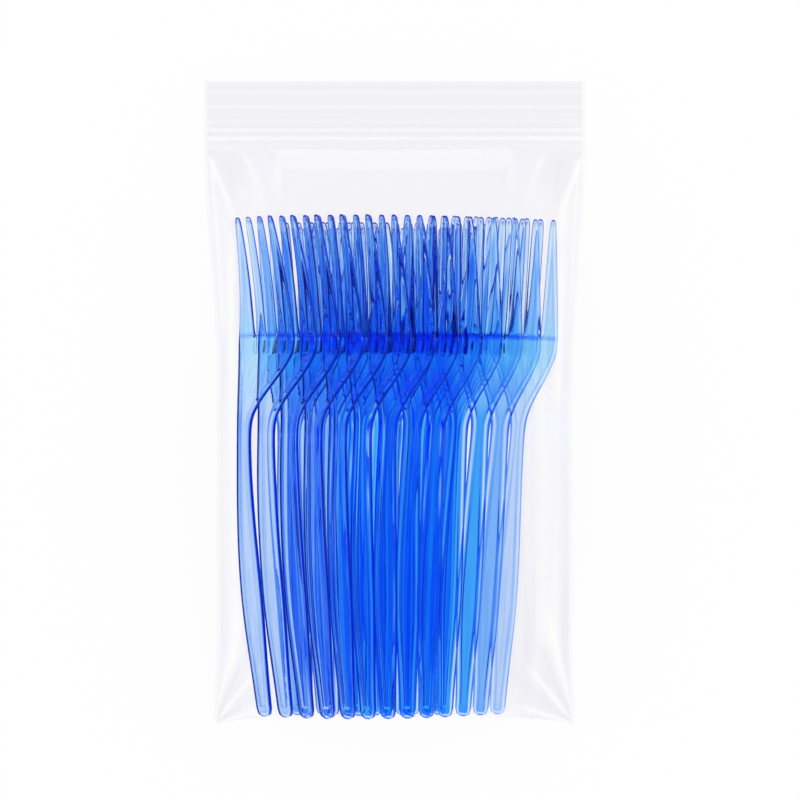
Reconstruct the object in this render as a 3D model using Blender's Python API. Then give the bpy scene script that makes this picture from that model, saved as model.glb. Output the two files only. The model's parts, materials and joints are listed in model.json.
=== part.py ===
"""A clear press-zip bag, lying on its back, that holds a pile of see-through plastic forks.

Metres, +Z up. +Y runs to the zip, +X to the right, and the bag's flat back lies on Z = 0.
"""

import math

import bpy
import numpy as np
from mathutils import Matrix, Vector
from mathutils.bvhtree import BVHTree

# Fork: distances along it are from the handle's end
FORK_LENGTH = 0.1670
HEAD_WIDTH = 0.0225
HANDLE_WIDTH = 0.0079
NECK_WIDTH = 0.0046
END_WIDTH = 0.0054
WIDEST_AT = 0.040
NECK_AT = 0.097
HEAD_AT = 0.126
SLOT_END_AT = 0.128
GROOVE_LENGTH = 0.0066
SLOT_PITCH = 0.00455
SLOT_ROOT = 0.0009
TINE_TIP_WIDTH = 0.0027
TINE_TIP_THICKNESS = 0.0013
TIP_LEAN = 0.0006
NECK_RISE = 0.013
TIP_RISE = 0.0085
FORK_THICKNESS = 0.0018
FLOOR_THICKNESS = 0.0012
RIM_WIDTH = 0.0016
RIM_SLOPE = 0.0004
END_RECESS = 0.0035

# Pile: a front, a middle and a rear row, from left to right; angles in degrees
FRONT_FORKS = 13
MIDDLE_FORKS = 6
REAR_FORKS = 6
SEAT_GAP = 0.0003
FRONT_FIRST_X = -0.0429
FRONT_LAST_X = 0.0347
FRONT_EASE = 0.12
FRONT_ROLL = (30.5, 5.0)
FRONT_TILT = (0.3, 4.3)
MIDDLE_FIRST_X = -0.0300
MIDDLE_LAST_X = 0.0150
MIDDLE_ROLL = (15.0, 9.0)
MIDDLE_TILT = (0.8, 3.6)
REAR_FIRST_X = -0.0330
REAR_LAST_X = 0.0120
REAR_ROLL = (14.2, 13.0)
REAR_TILT = (0.0, 3.2)
ROW_STEP = 0.0012
END_CLEARANCE = 0.0006

# Bag: distances along it are from the bottom corners
BAG_WIDTH = 0.130
BAG_HEIGHT = 0.2183
FILM = 0.0003
WELD_WIDTH = 0.0012
LIP_HEIGHT = 0.0183
LIP_LEVEL = 0.0115
SEAM_LEVEL = 0.0130
LIP_GAP = 0.0004
WAIST = 0.0047
WAIST_RUN = 0.085
CORNER_FLARE = 0.0009
CORNER_RUN = 0.030
BOTTOM_LIFT = 0.0004
BOTTOM_LIFT_RUN = 0.020
ZIP_RIDGE = 0.0008
ZIP_RIDGE_WIDTH = 0.0018
ZIP_GUIDE = 0.0004
ZIP_GUIDE_WIDTH = 0.0008
ZIP_SPACING = 0.0029
COLUMNS = 34
BODY_ROWS = 38
FILM_PASSES = 3000
STEEPEST = 3.0
REST_WIDTH = 0.078
REST_ENDS = (0.006, 0.190)

FORK_BLUE = (0.02, 0.16, 0.92)
FILM_TINT = (0.90, 0.90, 0.95)


def smooth(t):
    t = min(max(t, 0.0), 1.0)
    return t * t * (3 - 2 * t)


def blend(ends, t):
    return ends[0] + (ends[1] - ends[0]) * t


def clear_scene():
    for old in list(bpy.data.objects):
        bpy.data.objects.remove(old, do_unlink=True)


def make_material(name, colour, roughness, alpha):
    material = bpy.data.materials.new(name)
    material.use_nodes = True
    shader = material.node_tree.nodes["Principled BSDF"]
    shader.inputs["Base Color"].default_value = (*colour, 1.0)
    shader.inputs["Roughness"].default_value = roughness
    shader.inputs["Metallic"].default_value = 0.0
    shader.inputs["Alpha"].default_value = alpha
    material.diffuse_color = (*colour, alpha)
    return material


def make_object(name, mesh, place=None):
    obj = bpy.data.objects.new(name, mesh)
    bpy.context.scene.collection.objects.link(obj)
    if place is not None:
        obj.matrix_world = place
    return obj


def make_mesh(name, points, faces, material):
    mesh = bpy.data.meshes.new(name)
    mesh.from_pydata([tuple(p) for p in points], [], faces)
    mesh.materials.append(material)
    mesh.update()
    mesh.shade_smooth()
    mesh.set_sharp_from_angle(angle=math.radians(35))
    return mesh


# One fork lies face up, with its handle's end at the origin and its tines towards +Y


def rise(y):
    """Height of the underside: up to the neck, down to the head's belly, up to the tips."""
    if y <= NECK_AT:
        return NECK_RISE * math.sin(math.pi / 2 * y / NECK_AT)
    if y <= HEAD_AT:
        return NECK_RISE * (1 - smooth((y - NECK_AT) / (HEAD_AT - NECK_AT)))
    return TIP_RISE * ((y - HEAD_AT) / (FORK_LENGTH - HEAD_AT)) ** 1.6


def half_width(y):
    """Half of the outline's width, from the rounded end to the head."""
    radius = END_WIDTH / 2
    if y < radius:
        return math.sqrt(radius**2 - (radius - y) ** 2) * 0.75 + radius * 0.25
    if y <= WIDEST_AT:
        return blend((END_WIDTH, HANDLE_WIDTH), smooth((y - radius) / (WIDEST_AT - radius))) / 2
    if y <= NECK_AT:
        return blend((HANDLE_WIDTH, NECK_WIDTH), smooth((y - WIDEST_AT) / (NECK_AT - WIDEST_AT))) / 2
    return blend((NECK_WIDTH, HEAD_WIDTH), smooth((y - NECK_AT) / (HEAD_AT - NECK_AT))) / 2


def along_tine(y):
    return (y - SLOT_END_AT) / (FORK_LENGTH - SLOT_END_AT)


def tine_sides(index, y):
    """Left and right side of tine 0 to 3 at y."""
    gap = blend((SLOT_ROOT, SLOT_PITCH - TINE_TIP_WIDTH), along_tine(y)) / 2
    outer_tip = 2 * SLOT_PITCH - (SLOT_PITCH - TINE_TIP_WIDTH) / 2 - TIP_LEAN
    outer = blend((HEAD_WIDTH / 2, outer_tip), along_tine(y))
    edges = (-outer, -SLOT_PITCH, 0.0, SLOT_PITCH, outer)
    left = edges[index] + (gap if index else 0.0)
    right = edges[index + 1] - (gap if index < 3 else 0.0)
    return left, right


class Slab:
    """A closed solid made of stations along Y, each a row of points with a low and a high end."""

    def __init__(self):
        self.points = []
        self.faces = []

    def station(self, y, across, tops):
        low = []
        high = []
        for x, top in zip(across, tops):
            low.append(len(self.points))
            self.points.append((x, y, rise(y)))
            high.append(len(self.points))
            self.points.append((x, y, rise(y) + top))
        return low, high

    def join(self, near, far):
        """Underside, top and side walls between two stations with as many points."""
        for i in range(len(near[0]) - 1):
            self.faces.append((near[0][i], far[0][i], far[0][i + 1], near[0][i + 1]))
            self.faces.append((near[1][i], near[1][i + 1], far[1][i + 1], far[1][i]))
        self.side_walls(near, far)

    def side_walls(self, near, far):
        self.faces.append((near[0][0], near[1][0], far[1][0], far[0][0]))
        self.faces.append((near[0][-1], far[0][-1], far[1][-1], near[1][-1]))

    def bridge(self, near, far, pairs):
        """Joins two stations where one has more points: pairs say which of them line up."""
        for (a, b), (c, d) in zip(pairs, pairs[1:]):
            self.faces.append((*reversed(near[0][a : c + 1]), *far[0][b : d + 1]))
            self.faces.append((*near[1][a : c + 1], *reversed(far[1][b : d + 1])))
        self.side_walls(near, far)

    def wall(self, station, first, last, towards_tips):
        """Closes part of a station with an upright wall."""
        face = (*station[0][first : last + 1], *reversed(station[1][first : last + 1]))
        self.faces.append(face[::-1] if towards_tips else face)


def handle_stations():
    """Six points across: a raised rim on each side and a lower floor between them."""
    radius = END_WIDTH / 2
    ys = [0.0, radius * 0.3, radius, END_RECESS, END_RECESS + RIM_SLOPE]
    ys += list(np.linspace(WIDEST_AT * 0.4, NECK_AT, 8))
    ys += list(np.linspace(NECK_AT, SLOT_END_AT - GROOVE_LENGTH, 6)[1:-1])
    for y in ys:
        half = half_width(y)
        inner = half - min(RIM_WIDTH, half * 0.6)
        floor = inner - min(RIM_SLOPE, inner * 0.5)
        middle = FLOOR_THICKNESS if y > END_RECESS else FORK_THICKNESS
        tops = (FORK_THICKNESS, FORK_THICKNESS, middle, middle, FORK_THICKNESS, FORK_THICKNESS)
        yield y, (-half, -inner, -floor, floor, inner, half), tops


def head_across(y):
    """Thirteen points across the head: outline, rims, and the sides and middle of each slot."""
    half = half_width(y)
    slots = [c * SLOT_PITCH + side * SLOT_ROOT / 2 for c in (-1, 0, 1) for side in (-1, 0, 1)]
    return [-half, RIM_WIDTH - half, *slots, half - RIM_WIDTH, half]


def add_tines(slab, root):
    columns = ((0, 1, 2), (4, 5), (7, 8), (10, 11, 12))
    length = FORK_LENGTH - SLOT_END_AT
    ys = [SLOT_END_AT + length * 0.35, SLOT_END_AT + length * 0.7]
    ys += [FORK_LENGTH - TINE_TIP_WIDTH * 0.4, FORK_LENGTH]
    for index, used in enumerate(columns):
        near = ([root[0][c] for c in used], [root[1][c] for c in used])
        for y in ys:
            left, right = tine_sides(index, y)
            taper = 0.45 if y == FORK_LENGTH else 1.0
            middle = (left + right) / 2
            half = (right - left) / 2 * taper
            across = np.linspace(middle - half, middle + half, len(used))
            thickness = blend((FORK_THICKNESS, TINE_TIP_THICKNESS), along_tine(y))
            far = slab.station(y, [float(x) for x in across], [thickness] * len(used))
            slab.join(near, far)
            near = far
        slab.wall(near, 0, len(used) - 1, towards_tips=True)


def fork_shape():
    slab = Slab()
    stations = [slab.station(*given) for given in handle_stations()]
    slab.wall(stations[0], 0, 5, towards_tips=False)
    for near, far in zip(stations, stations[1:]):
        slab.join(near, far)
    floor_y = SLOT_END_AT - GROOVE_LENGTH
    groove_y = floor_y + RIM_SLOPE * 2
    rim = [FORK_THICKNESS, FORK_THICKNESS]
    groove = [FORK_THICKNESS, FLOOR_THICKNESS, FORK_THICKNESS]
    first = slab.station(floor_y, head_across(floor_y), [*rim, *[FLOOR_THICKNESS] * 9, *rim])
    second = slab.station(groove_y, head_across(groove_y), [*rim, *groove * 3, *rim])
    root = slab.station(SLOT_END_AT, head_across(SLOT_END_AT), [*rim, *groove * 3, *rim])
    slab.bridge(stations[-1], first, ((0, 0), (1, 1), (2, 2), (3, 10), (4, 11), (5, 12)))
    slab.join(first, second)
    slab.join(second, root)
    for slot in (2, 5, 8):
        slab.wall(root, slot, slot + 2, towards_tips=True)
    add_tines(slab, root)
    return slab.points, slab.faces


# The pile


def pose(x, y, z, roll, tilt):
    """Rolled about its own length, its top to the left; then turned about Z, its head to the right."""
    turn = Matrix.Rotation(-tilt, 4, "Z") @ Matrix.Rotation(-roll, 4, "Y")
    return Matrix.Translation((x, y, z)) @ turn


def fanned_row(count, ends_x, y, ease, rolls, tilts):
    """Poses of forks that lie like fanned cards, each a little under the one on its left."""
    poses = []
    z = 0.0
    before = None
    for i in range(count):
        u = i / (count - 1)
        x = blend(ends_x, u + ease * u * (1 - u))
        roll = math.radians(blend(rolls, smooth(u)))
        tilt = math.radians(blend(tilts, smooth(u)))
        if before:
            step = x - before[0]
            twist = abs(roll - before[1]) * max(HEAD_WIDTH / 2 - step, 0.0)
            depth = FORK_THICKNESS + SEAT_GAP + twist
            z += (step * math.sin(roll) - depth) / math.cos(roll)
        before = (x, roll)
        poses.append(pose(x, y, z, roll, tilt))
    return poses


def placed_points(points, poses):
    return [[matrix @ Vector(p) for p in points] for matrix in poses]


def tree_of(points, faces, poses):
    placed = []
    all_faces = []
    for fork in placed_points(points, poses):
        start = len(placed)
        placed += fork
        all_faces += [tuple(start + i for i in face) for face in faces]
    return BVHTree.FromPolygons(placed, all_faces)


def edge_marks(points, faces, spacing=0.0015):
    """Points along the mesh's edges, close enough to find where two forks come nearest."""
    edges = {tuple(sorted(pair)) for face in faces for pair in zip(face, face[1:] + face[:1])}
    marks = []
    for a, b in sorted(edges):
        start = Vector(points[a])
        run = Vector(points[b]) - start
        steps = max(1, round(run.length / spacing))
        marks += [start + run * (k / steps) for k in range(steps + 1)]
    return marks


def height_between(upper, lower, points, faces):
    """Least height from the lower row up to the upper one, measured from well above it."""
    lifted = 1.0
    marks = edge_marks(points, faces)
    least = lifted * 2
    upper_tree = tree_of(points, faces, [Matrix.Translation((0, 0, lifted)) @ m for m in upper])
    lower_tree = tree_of(points, faces, lower)
    for matrix in upper:
        for mark in marks:
            start = matrix @ mark
            start.z += lifted
            hit = lower_tree.ray_cast(start, Vector((0, 0, -1)))
            if hit[0] is not None:
                least = min(least, hit[3])
    for matrix in lower:
        for mark in marks:
            hit = upper_tree.ray_cast(matrix @ mark, Vector((0, 0, 1)))
            if hit[0] is not None:
                least = min(least, hit[3])
    return least - lifted


def raised(poses, height):
    return [Matrix.Translation((0, 0, height)) @ matrix for matrix in poses]


def lowest(points, poses):
    return min(p.z for fork in placed_points(points, poses) for p in fork)


def pile_poses(points, faces):
    """The rear row rests on the bag's back, and each row in front of it on those below."""
    y = BOTTOM_LIFT + FILM + END_CLEARANCE - BAG_HEIGHT / 2
    pile = fanned_row(REAR_FORKS, (REAR_FIRST_X, REAR_LAST_X), y, 0.0, REAR_ROLL, REAR_TILT)
    ends_x = (MIDDLE_FIRST_X, MIDDLE_LAST_X)
    middle = fanned_row(MIDDLE_FORKS, ends_x, y + ROW_STEP, 0.0, MIDDLE_ROLL, MIDDLE_TILT)
    ends_x = (FRONT_FIRST_X, FRONT_LAST_X)
    y += ROW_STEP * 2
    front = fanned_row(FRONT_FORKS, ends_x, y, FRONT_EASE, FRONT_ROLL, FRONT_TILT)
    for row in (middle, front):
        pile = raised(row, SEAT_GAP * 2 - height_between(row, pile, points, faces)) + pile
    return raised(pile, FILM + SEAT_GAP - lowest(points, pile))


# The bag: two sheets of film on one grid of columns and rows


def half_bag(y):
    """Half of the bag's width at y, drawn in where the pile fills it."""
    waist = smooth((BAG_HEIGHT - LIP_HEIGHT - y) / WAIST_RUN)
    corner = 1 - smooth(y / CORNER_RUN)
    return BAG_WIDTH / 2 - WAIST * waist + CORNER_FLARE * corner


def zip_rows():
    """Rows that follow the guide ridge, then the pressed zip below it."""
    top = BAG_HEIGHT - LIP_HEIGHT
    guide = [top + k * ZIP_GUIDE_WIDTH / 2 for k in (-1, -0.4, 0.4, 1)]
    track = [top - ZIP_SPACING + k * ZIP_RIDGE_WIDTH / 2 for k in (-1, -0.55, 0.55, 1)]
    return track, guide


def row_heights():
    track, guide = zip_rows()
    low = [0.0, 0.0008, 0.0020, 0.0040]
    body = list(np.linspace(0.0075, track[0] - 0.004, BODY_ROWS))
    lips = list(np.linspace(guide[-1] + 0.005, BAG_HEIGHT, 3))
    return np.array(low + body + track + guide + lips)


def column_shares():
    """Places of the columns, from -1 at the left weld to 1 at the right, closer near the welds."""
    even = np.linspace(-1, 1, COLUMNS + 1)
    return np.sin(even * math.pi / 2 * 0.86) / math.sin(math.pi / 2 * 0.86)


def grid_places():
    """X and Y of each point of the grid, before the pile swells the sheets."""
    ys = row_heights()
    shares = column_shares()
    halves = np.array([half_bag(y) for y in ys])
    xs = np.outer(halves - WELD_WIDTH, shares)
    lift = BOTTOM_LIFT * np.outer(np.clip(1 - ys / BOTTOM_LIFT_RUN, 0, 1), 1 - shares**6)
    return xs, ys[:, None] + lift - BAG_HEIGHT / 2, halves


def pile_reach(xs, ys, points, faces, poses):
    """Lowest and highest point of the pile near each point of the grid."""
    marks = np.array([matrix @ mark for matrix in poses for mark in edge_marks(points, faces)])
    high = np.full(xs.shape, -1.0)
    low = np.full(xs.shape, 1.0)
    for row in range(xs.shape[0]):
        near_y = abs(ys[min(row + 1, len(ys) - 1)] - ys[row]).max()
        far_y = abs(ys[row] - ys[max(row - 1, 0)]).max()
        for col in range(1, xs.shape[1] - 1):
            x = xs[row, col]
            y = ys[row, col]
            inside = (marks[:, 0] > xs[row, col - 1]) & (marks[:, 0] < xs[row, col + 1])
            inside &= (marks[:, 1] > y - far_y) & (marks[:, 1] < y + near_y)
            if inside.any():
                high[row, col] = marks[inside, 2].max()
                low[row, col] = marks[inside, 2].min()
    return low, high


def taut(start, floor, ceiling, fixed, xs, ys):
    """Film drawn tight: each point at its neighbours' mean, kept between floor and ceiling."""
    z = start.copy()
    to_left = np.maximum(xs[:, 1:-1] - xs[:, :-2], 1e-4)[1:-1]
    to_right = np.maximum(xs[:, 2:] - xs[:, 1:-1], 1e-4)[1:-1]
    below = np.maximum(ys[1:-1] - ys[:-2], 1e-4)[:, 1:-1]
    above = np.maximum(ys[2:] - ys[1:-1], 1e-4)[:, 1:-1]
    left = 1 / (to_left * (to_left + to_right))
    right = 1 / (to_right * (to_left + to_right))
    down = 1 / (below * (below + above))
    up = 1 / (above * (below + above))
    total = left + right + down + up
    held = fixed[1:-1, 1:-1]
    for _ in range(FILM_PASSES):
        mean = left * z[1:-1, :-2] + right * z[1:-1, 2:] + down * z[:-2, 1:-1] + up * z[2:, 1:-1]
        moved = np.clip(mean / total, floor[1:-1, 1:-1], ceiling[1:-1, 1:-1])
        z[1:-1, 1:-1] = np.where(held, z[1:-1, 1:-1], moved)
    return z


def seam_level(y):
    """Height of the side welds: from the seam's level at the bottom to the lips' at the zip."""
    return blend((SEAM_LEVEL, LIP_LEVEL), smooth(y / (BAG_HEIGHT - LIP_HEIGHT)))


def ridge(y, at, width):
    """1 along a ridge's flat top, 0 beside it."""
    return 1.0 if abs(y - at) < width * 0.4 else 0.0


def sheets(points, faces, poses):
    """Grid places, and the heights of the middle of the back and front sheet there."""
    xs, ys, halves = grid_places()
    low, high = pile_reach(xs, ys, points, faces, poses)
    above_pile = row_heights() > BAG_HEIGHT - LIP_HEIGHT - ZIP_SPACING - ZIP_RIDGE_WIDTH * 1.5
    fixed = np.repeat(above_pile[:, None], xs.shape[1], axis=1)
    seam = np.repeat([[seam_level(y)] for y in row_heights()], xs.shape[1], axis=1)
    apart = (LIP_GAP + FILM) / 2
    room = FILM / 2 + SEAT_GAP
    floor = np.full(xs.shape, FILM / 2)
    above = np.full(xs.shape, BAG_WIDTH)
    front = taut(seam + apart, np.maximum(high + room, floor), above, fixed, xs, ys)
    rests = (abs(xs) < REST_WIDTH / 2) & (row_heights() > REST_ENDS[0])[:, None]
    rests &= (row_heights() < REST_ENDS[1])[:, None]
    ceiling = np.where(rests, floor, np.maximum(low - room, floor))
    back = taut(seam - apart, floor, ceiling, fixed, xs, ys)
    return xs, ys, halves, seam, back, front


class Shell:
    """The bag's one body: an outer skin, an inner skin, and the rim that joins them at the mouth."""

    def __init__(self):
        self.points = []
        self.faces = []

    def line(self, xs, ys, zs):
        start = len(self.points)
        self.points += [(float(x), float(y), float(z)) for x, y, z in zip(xs, ys, zs)]
        return list(range(start, len(self.points)))

    def strip(self, near, far, turned=False):
        """Triangles between two lines; turned ones share their diagonal with the other skin's."""
        for a, b, c, d in zip(near, near[1:], far[1:], far):
            if turned:
                a, b, c, d = b, c, d, a
            self.faces.append((a, b, c))
            self.faces.append((a, c, d))


def upright_film(xs, ys, sheet):
    """The film's thickness measured upright, which grows where the sheet is steep."""
    along_y = np.gradient(sheet, axis=0) / np.maximum(np.gradient(ys, axis=0), 1e-4)
    along_x = np.gradient(sheet, axis=1) / np.maximum(np.gradient(xs, axis=1), 1e-4)
    slope = np.minimum(along_x**2 + along_y**2, STEEPEST**2)
    slope[:, [0, -1]] = 0.0
    return FILM * np.sqrt(1 + slope)


def bag_rows(shell, xs, ys, halves, seam, back, front):
    """Outer and inner loop of each row, both from the left weld over the front to the right and back."""
    track_at = BAG_HEIGHT - LIP_HEIGHT - ZIP_SPACING
    guide_at = BAG_HEIGHT - LIP_HEIGHT
    thick_front = upright_film(xs, ys, front)
    thick_back = np.minimum(upright_film(xs, ys, back), back + FILM / 2)
    outer = []
    inner = []
    for row, height in enumerate(row_heights()):
        track = ridge(height, track_at, ZIP_RIDGE_WIDTH)
        proud = ZIP_RIDGE * track + ZIP_GUIDE * ridge(height, guide_at, ZIP_GUIDE_WIDTH)
        x, y, z = xs[row], ys[row], seam[row][0]
        half = halves[row]
        over = shell.line(x, y, front[row] - FILM / 2 + thick_front[row] + proud)
        under = shell.line(x, y, back[row] + FILM / 2 - thick_back[row] - proud)
        right = shell.line((half, half), (y[-1],) * 2, (z + FILM, z - FILM))
        left = shell.line((-half, -half), (y[0],) * 2, (z - FILM, z + FILM))
        outer.append([*over, *right, *reversed(under), *left])
        dip = track * ZIP_RIDGE / 2
        within = slice(1, -1)
        over = shell.line(x[within], y[within], front[row][within] - FILM / 2 - dip)
        under = shell.line(x[within], y[within], back[row][within] + FILM / 2 - dip)
        ends = shell.line((x[-1], x[0]), (y[-1], y[0]), (z, z))
        inner.append([*over, ends[0], *reversed(under), ends[1]])
    return outer, inner


def bag_shape(points, faces, poses):
    xs, ys, halves, seam, back, front = sheets(points, faces, poses)
    shell = Shell()
    outer, inner = bag_rows(shell, xs, ys, halves, seam, back, front)
    for near, far in zip(outer, outer[1:]):
        shell.strip([*near, near[0]], [*far, far[0]])
    for near, far in zip(inner, inner[1:]):
        shell.strip([*far, far[0]], [*near, near[0]], turned=True)
    close_bottom(shell, outer[0], inner[0], xs[0], ys[0], halves[0], seam[0][0])
    close_rim(shell, outer[-1], inner[-1])
    return shell.points, shell.faces


def close_bottom(shell, outer, inner, x, y, half, z):
    """The folded bottom edge: a floor inside, and one film lower outside."""
    count = len(x)
    over = inner[: count - 2]
    under = inner[count - 1 : -1][::-1]
    shell.strip(over, under)
    shell.faces.append((over[0], under[0], inner[-1]))
    shell.faces.append((over[-1], inner[count - 2], under[-1]))
    low_over = shell.line(x, y - FILM, [z + FILM] * count)
    low_under = shell.line(x, y - FILM, [z - FILM] * count)
    right = shell.line((half, half), (y[-1] - FILM,) * 2, (z + FILM, z - FILM))
    left = shell.line((-half, -half), (y[0] - FILM,) * 2, (z - FILM, z + FILM))
    lowest_loop = [*low_over, *right, *reversed(low_under), *left]
    shell.strip([*lowest_loop, lowest_loop[0]], [*outer, outer[0]])
    shell.strip([left[1], *low_over, right[0]][::-1], [left[0], *low_under, right[1]][::-1])


def close_rim(shell, outer, inner):
    """The mouth: the front and the back lip end in a rim of the film's thickness."""
    count = COLUMNS + 1
    over = outer[:count]
    under = outer[count + 2 : 2 * count + 2][::-1]
    right = outer[count : count + 2]
    left = outer[2 * count + 2 :]
    inner_over = [inner[-1], *inner[: count - 2], inner[count - 2]]
    inner_under = [inner[-1], *inner[count - 1 : -1][::-1], inner[count - 2]]
    shell.strip(over, inner_over)
    shell.strip(inner_under, under)
    shell.faces.append((left[0], left[1], over[0], inner[-1], under[0]))
    shell.faces.append((right[0], right[1], under[-1], inner[count - 2], over[-1]))


def build():
    clear_scene()
    points, faces = fork_shape()
    fork = make_mesh("fork", points, faces, make_material("blue_plastic", FORK_BLUE, 0.12, 0.55))
    poses = pile_poses(points, faces)
    for number, place in enumerate(poses, start=1):
        make_object(f"fork_{number:02d}", fork, place)
    film = make_material("clear_film", FILM_TINT, 0.08, 0.18)
    make_object("zip_bag", make_mesh("zip_bag", *bag_shape(points, faces, poses), film))


build()
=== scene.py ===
import json
import math

import bpy
import numpy as np
from mathutils import Matrix, Vector
from mathutils.bvhtree import BVHTree

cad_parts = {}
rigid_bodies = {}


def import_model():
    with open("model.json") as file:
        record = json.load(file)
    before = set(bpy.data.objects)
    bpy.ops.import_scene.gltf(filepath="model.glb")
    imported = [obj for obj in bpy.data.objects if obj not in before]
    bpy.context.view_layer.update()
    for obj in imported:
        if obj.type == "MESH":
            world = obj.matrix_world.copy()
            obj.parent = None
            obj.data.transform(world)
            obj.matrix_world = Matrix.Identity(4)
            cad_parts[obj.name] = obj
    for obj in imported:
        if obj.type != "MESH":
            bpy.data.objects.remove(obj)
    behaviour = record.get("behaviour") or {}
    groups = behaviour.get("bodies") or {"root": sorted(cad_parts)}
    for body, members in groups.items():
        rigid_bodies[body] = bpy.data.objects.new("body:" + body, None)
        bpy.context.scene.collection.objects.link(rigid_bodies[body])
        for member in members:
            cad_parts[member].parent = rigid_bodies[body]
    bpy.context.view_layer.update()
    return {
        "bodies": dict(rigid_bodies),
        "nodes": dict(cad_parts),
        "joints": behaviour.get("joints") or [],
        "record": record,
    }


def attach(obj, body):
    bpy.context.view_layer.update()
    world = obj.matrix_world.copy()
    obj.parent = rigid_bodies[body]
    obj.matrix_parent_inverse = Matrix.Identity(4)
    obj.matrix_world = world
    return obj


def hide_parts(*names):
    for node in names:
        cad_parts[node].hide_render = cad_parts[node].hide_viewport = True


# Fork: the CAD fork's own sizes, distances from the handle's end
FORK_LENGTH = 0.1670
HEAD_WIDTH = 0.0225
HANDLE_WIDTH = 0.0079
NECK_WIDTH = 0.0046
END_WIDTH = 0.0054
WIDEST_AT = 0.040
NECK_AT = 0.097
HEAD_AT = 0.126
SLOT_END_AT = 0.128
GROOVE_LENGTH = 0.0066
SLOT_PITCH = 0.00455
SLOT_ROOT = 0.0009
TINE_TIP_WIDTH = 0.0027
TINE_TIP_THICKNESS = 0.0013
TIP_LEAN = 0.0006
TIP_TAPER = 0.45
NECK_RISE = 0.013
TIP_RISE = 0.0085
FORK_THICKNESS = 0.0018
FLOOR_THICKNESS = 0.0012
RIM_WIDTH = 0.0016
RIM_SLOPE = 0.0004
END_RECESS = 0.0035

# Fork: what the visible fork adds to the CAD fork
GROOVE_WIDTH = 0.0022
GROOVE_FLOOR = 0.0004
NECK_SPREAD = 0.28
NECK_SPREAD_AT = 0.087
NECK_SPREAD_RUN = 0.024
TINE_CREASE = 0.15
CREASE = 0.5
SHARP_TURN = math.radians(30)
RIM_REACH = 0.0025

# Bag: the CAD bag's own sizes, distances from the bottom corners
BAG_WIDTH = 0.130
BAG_HEIGHT = 0.2183
LIP_HEIGHT = 0.0183
LIP_LEVEL = 0.0115
SEAM_LEVEL = 0.0130
WELD_WIDTH = 0.0012
WAIST = 0.0047
WAIST_RUN = 0.085
CORNER_FLARE = 0.0009
CORNER_RUN = 0.030
BOTTOM_LIFT = 0.0020
BOTTOM_LIFT_RUN = 0.030
ZIP_SPACING = 0.0029
REST_WIDTH = 0.078
REST_ENDS = (0.006, 0.190)

# Film: its grid, and what it keeps clear of
COLUMNS = 180
ROWS = 480
COARSE = 4
FILM_PASSES = 900
PILE_MARGIN = 2
FILM_LOW = 0.0002
FILM_HIGH = 0.1
FRONT_CLEARANCE = 0.0006
BACK_CLEARANCE = 0.0004
MOUTH_HALF = 0.0004
SHEET_GAP = 0.0003
STIFF_BELOW_ZIP = 0.002
ABOVE_ALL = 0.2

# Welds and pressed zip tracks: name, place over the zip line, width, height
WELD_POINTS = 160
WELD_OVERLAP = 0.0001
WELD_HALF_THICKNESS = 0.00012
ZIP_LEVEL = LIP_LEVEL + 0.0003
ZIP_BARS = (
    ("zip_guide", 0.0020, 0.0009, 0.0006),
    ("zip_track", -0.0013, 0.0016, 0.0008),
    ("zip_track_low", -0.0046, 0.0006, 0.0005),
)
CRIMP_LENGTH = 0.005
CRIMP_RUN = 0.0045

# Creases that fan out of a bottom corner: angle, its spread, length, height
CORNER_PETALS = (
    (0.30, 0.045, 0.024, 1.5e-3),
    (0.62, 0.040, 0.030, -1.3e-3),
    (0.88, 0.035, 0.034, 1.6e-3),
    (1.12, 0.030, 0.040, -1.3e-3),
    (1.33, 0.030, 0.046, 1.2e-3),
)

# Creases under the zip's ends: start from the middle, lean, length, height, width
SHOULDER_CREASES = (
    (0.0590, 0.0140, 0.050, -0.9e-3, 0.0012),
    (0.0540, 0.0200, 0.040, 1.0e-3, 0.0011),
    (0.0470, 0.0260, 0.032, -0.7e-3, 0.0012),
    (0.0350, -0.0120, 0.024, 0.6e-3, 0.0012),
)

# Upright folds: share of the half width, wander, phase, height, width as a share
LONG_FOLDS = (
    (-0.93, 0.010, 0.4, 0.55e-3, 0.012),
    (-0.86, 0.012, 2.0, -0.60e-3, 0.016),
    (-0.79, 0.008, 3.4, 0.45e-3, 0.010),
    (0.94, 0.010, 1.2, 0.60e-3, 0.012),
    (0.87, 0.014, 2.9, -0.65e-3, 0.016),
    (0.79, 0.010, 4.1, 0.60e-3, 0.012),
    (0.72, 0.012, 5.5, -0.40e-3, 0.012),
)

# Ribs across the lips
RIB_PITCH = 0.0027
RIB_HEIGHT = 0.10e-3

# Light on the zip: place over the zip line, width, how much brighter
ZIP_LINES = (
    (0.0018, 0.0005, 0.45),
    (0.0004, 0.0005, -0.55),
    (-0.0013, 0.0009, 0.9),
    (-0.0030, 0.0004, -0.2),
    (-0.0046, 0.0007, 0.25),
)

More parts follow.
